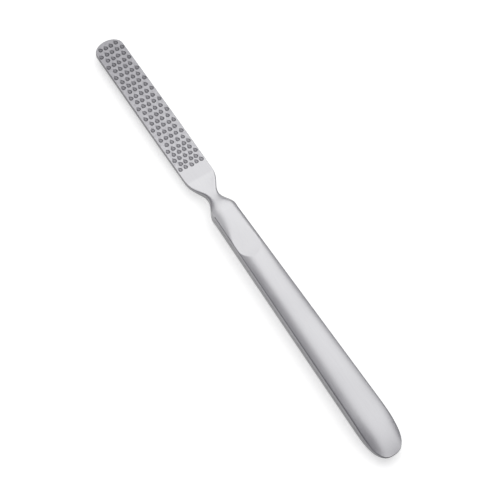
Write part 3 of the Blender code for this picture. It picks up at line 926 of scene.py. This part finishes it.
class Metal:
    """Node material of one metal, brushed along the tool."""

    def __init__(self, name, colour):
        self.material = bpy.data.materials.new(name)
        self.material.use_nodes = True
        self.tree = self.material.node_tree
        self.shader = self.tree.nodes["Principled BSDF"]
        self.shader.inputs["Metallic"].default_value = 1
        self.colour = colour
        self.coords = self.node("ShaderNodeTexCoord")
        self.tones = []

    def node(self, kind, **settings):
        """A new node with some of its settings changed."""
        item = self.tree.nodes.new(kind)
        for name, value in settings.items():
            setattr(item, name, value)
        return item

    def link(self, output, target):
        """Join an output to the input that it sets."""
        self.tree.links.new(output, target)

    def axis(self, coordinates, name):
        """One axis of the object's own coordinates or normals."""
        split = self.node("ShaderNodeSeparateXYZ")
        self.link(self.coords.outputs[coordinates], split.inputs["Vector"])
        return split.outputs[name]

    def noise(self, scale, stretch, detail):
        """Noise over the object's own coordinates, stretched by a share along X."""
        mapping = self.node("ShaderNodeMapping")
        mapping.inputs["Scale"].default_value = (scale * stretch, scale, scale)
        self.link(self.coords.outputs["Object"], mapping.inputs["Vector"])
        noise = self.node("ShaderNodeTexNoise")
        noise.inputs["Scale"].default_value = 1
        noise.inputs["Detail"].default_value = detail
        self.link(mapping.outputs["Vector"], noise.inputs["Vector"])
        return noise.outputs["Fac"]

    def spread(self, value, source, target):
        """A value mapped from one range to another, and held within it."""
        item = self.node("ShaderNodeMapRange")
        for socket, number in zip(("From Min", "From Max", "To Min", "To Max"), source + target):
            item.inputs[socket].default_value = number
        self.link(value, item.inputs["Value"])
        return item.outputs["Result"]

    def step(self, x, place, blur, rise):
        """Zero before a place along the tool and the rise behind it, with a soft change."""
        return self.spread(x, (along(place) - blur, along(place) + blur), (0, rise))

    def math(self, operation, first, second):
        """Two values, or a value and a number, put together."""
        item = self.node("ShaderNodeMath", operation=operation)
        for socket, value in zip(item.inputs, (first, second)):
            if isinstance(value, (int, float)):
                socket.default_value = value
            else:
                self.link(value, socket)
        return item.outputs["Value"]

    def ramp(self, value, stops):
        """A tone that follows a value through (position, tone) stops, the first at 0 and the last at 1."""
        item = self.node("ShaderNodeValToRGB")
        elements = item.color_ramp.elements
        for position, _ in stops[1:-1]:
            elements.new(position)
        for element, (_, tone) in zip(elements, stops):
            element.color = (tone, tone, tone, 1)
        self.link(value, item.inputs["Fac"])
        return item.outputs["Color"]

    def finish(self, roughness, height):
        """Join the tones, painted shade among them, to the colour, and set the roughness and the bump."""
        total = self.tones[0]
        for tone in self.tones[1:]:
            total = self.math("MULTIPLY", total, tone)
        tint = self.node("ShaderNodeVectorMath", operation="SCALE")
        tint.inputs[0].default_value = [value * share for value, share in zip(self.colour, DARK_TINT_SHARES)]
        self.link(self.math("SUBTRACT", 1, total), tint.inputs["Scale"])
        tinted = self.node("ShaderNodeVectorMath", operation="ADD")
        tinted.inputs[0].default_value = self.colour
        self.link(tint.outputs["Vector"], tinted.inputs[1])
        colour = self.node("ShaderNodeVectorMath", operation="SCALE")
        self.link(tinted.outputs["Vector"], colour.inputs[0])
        self.link(total, colour.inputs["Scale"])
        self.link(colour.outputs["Vector"], self.shader.inputs["Base Color"])
        self.link(roughness, self.shader.inputs["Roughness"])
        bump = self.node("ShaderNodeBump")
        bump.inputs["Distance"].default_value = BRUSH_BUMP
        bump.inputs["Strength"].default_value = 1
        self.link(height, bump.inputs["Height"])
        self.link(bump.outputs["Normal"], self.shader.inputs["Normal"])
        return self.material


def toothed_tones(metal, x, painted_pit_shade):
    """Tones of the blade: painted shade in the pits, a mottled field, and the two steps of its bare base."""
    noise = metal.noise(MOTTLE_SCALE, 1, MOTTLE_DETAIL)
    mottle = metal.spread(noise, NOISE_RANGE, MOTTLE_SHARES)
    # Field tone darker towards the tip: partly painted shade, partly grime
    field = metal.spread(x, (along(0), along(BLADE_LENGTH - BARE_BASE_LENGTH)), FIELD_SHADE_AND_GRIME_SHARES)
    base = metal.step(x, FIELD_END, FIELD_END_BLUR, FIELD_END_SHARE)
    behind = metal.step(x, BASE_STEP, BASE_STEP_BLUR, BASE_STEP_SHARE)
    in_field = metal.spread(base, (0, FIELD_END_SHARE), (1, 0))
    # First tone: painted shade in the teeth's pits
    return [metal.spread(painted_pit_shade, (0, 1), (1, TOOTH_PIT_SHADE_SHARE)),
            metal.math("ADD", 1, metal.math("MULTIPLY", mottle, in_field)),
            metal.math("ADD", metal.math("ADD", field, base), behind)]


def brushed_metal(name, colour, roughness, with_teeth=False):
    """Brushed metal with slow clouds of tone, and painted shade on its steep sides and creases."""
    metal = Metal(name, colour)
    brush = metal.noise(BRUSH_SCALE, BRUSH_STRETCH_SHARE, BRUSH_DETAIL)
    cloud = metal.noise(CLOUD_SCALE, CLOUD_STRETCH_SHARE, CLOUD_DETAIL)
    grain = metal.noise(GRAIN_SCALE, 1, GRAIN_DETAIL)
    rough = metal.spread(brush, NOISE_RANGE, (roughness - ROUGHNESS_SCATTER, roughness + ROUGHNESS_SCATTER))
    x = metal.axis("Object", "X")
    upright = metal.math("ABSOLUTE", metal.axis("Normal", "Z"), 0)
    clouds = [metal.spread(brush, NOISE_RANGE, BRUSH_SHARES),
              metal.spread(cloud, NOISE_RANGE, CLOUD_SHARES)]
    if with_teeth:
        painted_pit_shade = metal.node("ShaderNodeAttribute", attribute_name="painted_pit_shade").outputs["Fac"]
        # Painted shade on the blade's steep sides, which the teeth's pits don't get
        side = metal.ramp(upright, BLADE_PAINTED_SIDE_SHADE_SHARES)
        in_tooth = metal.spread(painted_pit_shade, (0, TOOTH_SLOPE_SHARE), (0, 1))
        metal.tones = [metal.math("MAXIMUM", side, in_tooth)] + clouds + toothed_tones(metal, x, painted_pit_shade)
        rough = metal.math("ADD", rough, metal.spread(painted_pit_shade, (0, 1), (0, TOOTH_ROUGHNESS)))
    else:
        # Painted shade that darkens the metal towards the handle's round end
        place = metal.spread(x, (along(JOINT), along(OVERALL_LENGTH)), HANDLE_PAINTED_SHADE_SHARES)
        # Painted shade, and a slight painted highlight, by how much the surface looks up
        metal.tones = [metal.ramp(upright, PAINTED_SIDE_SHADE_SHARES), place] + clouds
    return metal.finish(rough, metal.math("ADD", brush, metal.math("MULTIPLY", grain, GRAIN_BUMP_SHARE)))


# Studio and camera


def make_floor():
    """Plain pale floor that shows white and keeps the tool's soft shadow."""
    half = FLOOR_SIZE / 2
    mesh = bmesh.new()
    corners = [(-half, -half), (half, -half), (half, half), (-half, half)]
    mesh.faces.new([mesh.verts.new((x, y, -FLOOR_DROP)) for x, y in corners])
    data = bpy.data.meshes.new("floor")
    mesh.to_mesh(data)
    mesh.free()
    material = bpy.data.materials.new("pale_floor")
    material.use_nodes = True
    nodes, links = material.node_tree.nodes, material.node_tree.links
    shader = nodes["Principled BSDF"]
    shader.inputs["Base Color"].default_value = FLOOR_COLOUR
    shader.inputs["Roughness"].default_value = FLOOR_ROUGHNESS
    shader.inputs["Specular IOR Level"].default_value = 0
    shader.inputs["Emission Color"].default_value = WHITE
    path = nodes.new("ShaderNodeLightPath")
    seen = path.outputs["Is Camera Ray"]
    for ray in ("Is Glossy Ray", "Is Transmission Ray"):
        either = nodes.new("ShaderNodeMath")
        either.operation = "MAXIMUM"
        links.new(seen, either.inputs[0])
        links.new(path.outputs[ray], either.inputs[1])
        seen = either.outputs["Value"]
    glow = nodes.new("ShaderNodeMath")
    glow.operation = "MULTIPLY"
    glow.inputs[1].default_value = FLOOR_GLOW
    links.new(seen, glow.inputs[0])
    links.new(glow.outputs["Value"], shader.inputs["Emission Strength"])
    data.materials.append(material)
    floor = bpy.data.objects.new("floor", data)
    bpy.context.scene.collection.objects.link(floor)


def make_softbox():
    """Large soft light over the far side of the tool."""
    light = bpy.data.lights.new("softbox", "AREA")
    light.shape = "RECTANGLE"
    light.size = SOFTBOX_LENGTH
    light.size_y = SOFTBOX_WIDTH
    light.energy = SOFTBOX_RADIANCE * math.pi * SOFTBOX_LENGTH * SOFTBOX_WIDTH
    lamp = bpy.data.objects.new("softbox", light)
    lamp.location = SOFTBOX_PLACE
    bpy.context.scene.collection.objects.link(lamp)


def make_sky():
    """Even, dim surroundings of the studio."""
    world = bpy.data.worlds.new("studio")
    world.use_nodes = True
    bpy.context.scene.world = world
    sky = world.node_tree.nodes["Background"]
    sky.inputs["Color"].default_value = SKY_COLOUR


def make_camera():
    """Camera at the photo's viewing angle."""
    heading, tilt = CAMERA_HEADING, CAMERA_TILT
    right = Vector((math.cos(heading), math.sin(heading), 0))
    away = Vector((-math.sin(heading), math.cos(heading), 0))
    back = Vector((0, 0, math.cos(tilt))) - away * math.sin(tilt)
    up = back.cross(right)
    target = right * CAMERA_RIGHT + up * CAMERA_UP + Vector((0, 0, AXIS_HEIGHT))
    place = target + back * CAMERA_DISTANCE
    lens = bpy.data.cameras.new("camera")
    lens.sensor_width = SENSOR_WIDTH
    lens.lens = SENSOR_WIDTH * CAMERA_DISTANCE / CAMERA_SPAN
    camera = bpy.data.objects.new("camera", lens)
    camera.matrix_world = Matrix((right, up, back)).transposed().to_4x4()
    camera.location = place
    bpy.context.scene.collection.objects.link(camera)
    bpy.context.scene.camera = camera


def main():
    """Studio, camera and every piece of the tool."""
    bpy.context.scene.view_settings.view_transform = "Standard"
    make_camera()
    make_softbox()
    make_sky()
    make_floor()
    blade_steel = brushed_metal("rasp_steel", STEEL_COLOUR, STEEL_ROUGHNESS, True)
    handle_steel = brushed_metal("satin_steel", STEEL_COLOUR, STEEL_ROUGHNESS)
    weld = brushed_metal("weld_steel", WELD_COLOUR, WELD_ROUGHNESS)
    braze = brushed_metal("braze_alloy", BRAZE_COLOUR, BRAZE_ROUGHNESS)
    make_blade(blade_steel)
    make_shell("upper_shell", "handle_upper_shell", True, handle_steel)
    make_shell("lower_shell", "handle_lower_shell", False, handle_steel)
    make_seam(weld)
    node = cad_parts["tang_braze"]
    for slot in node.material_slots:
        slot.material = braze


main()
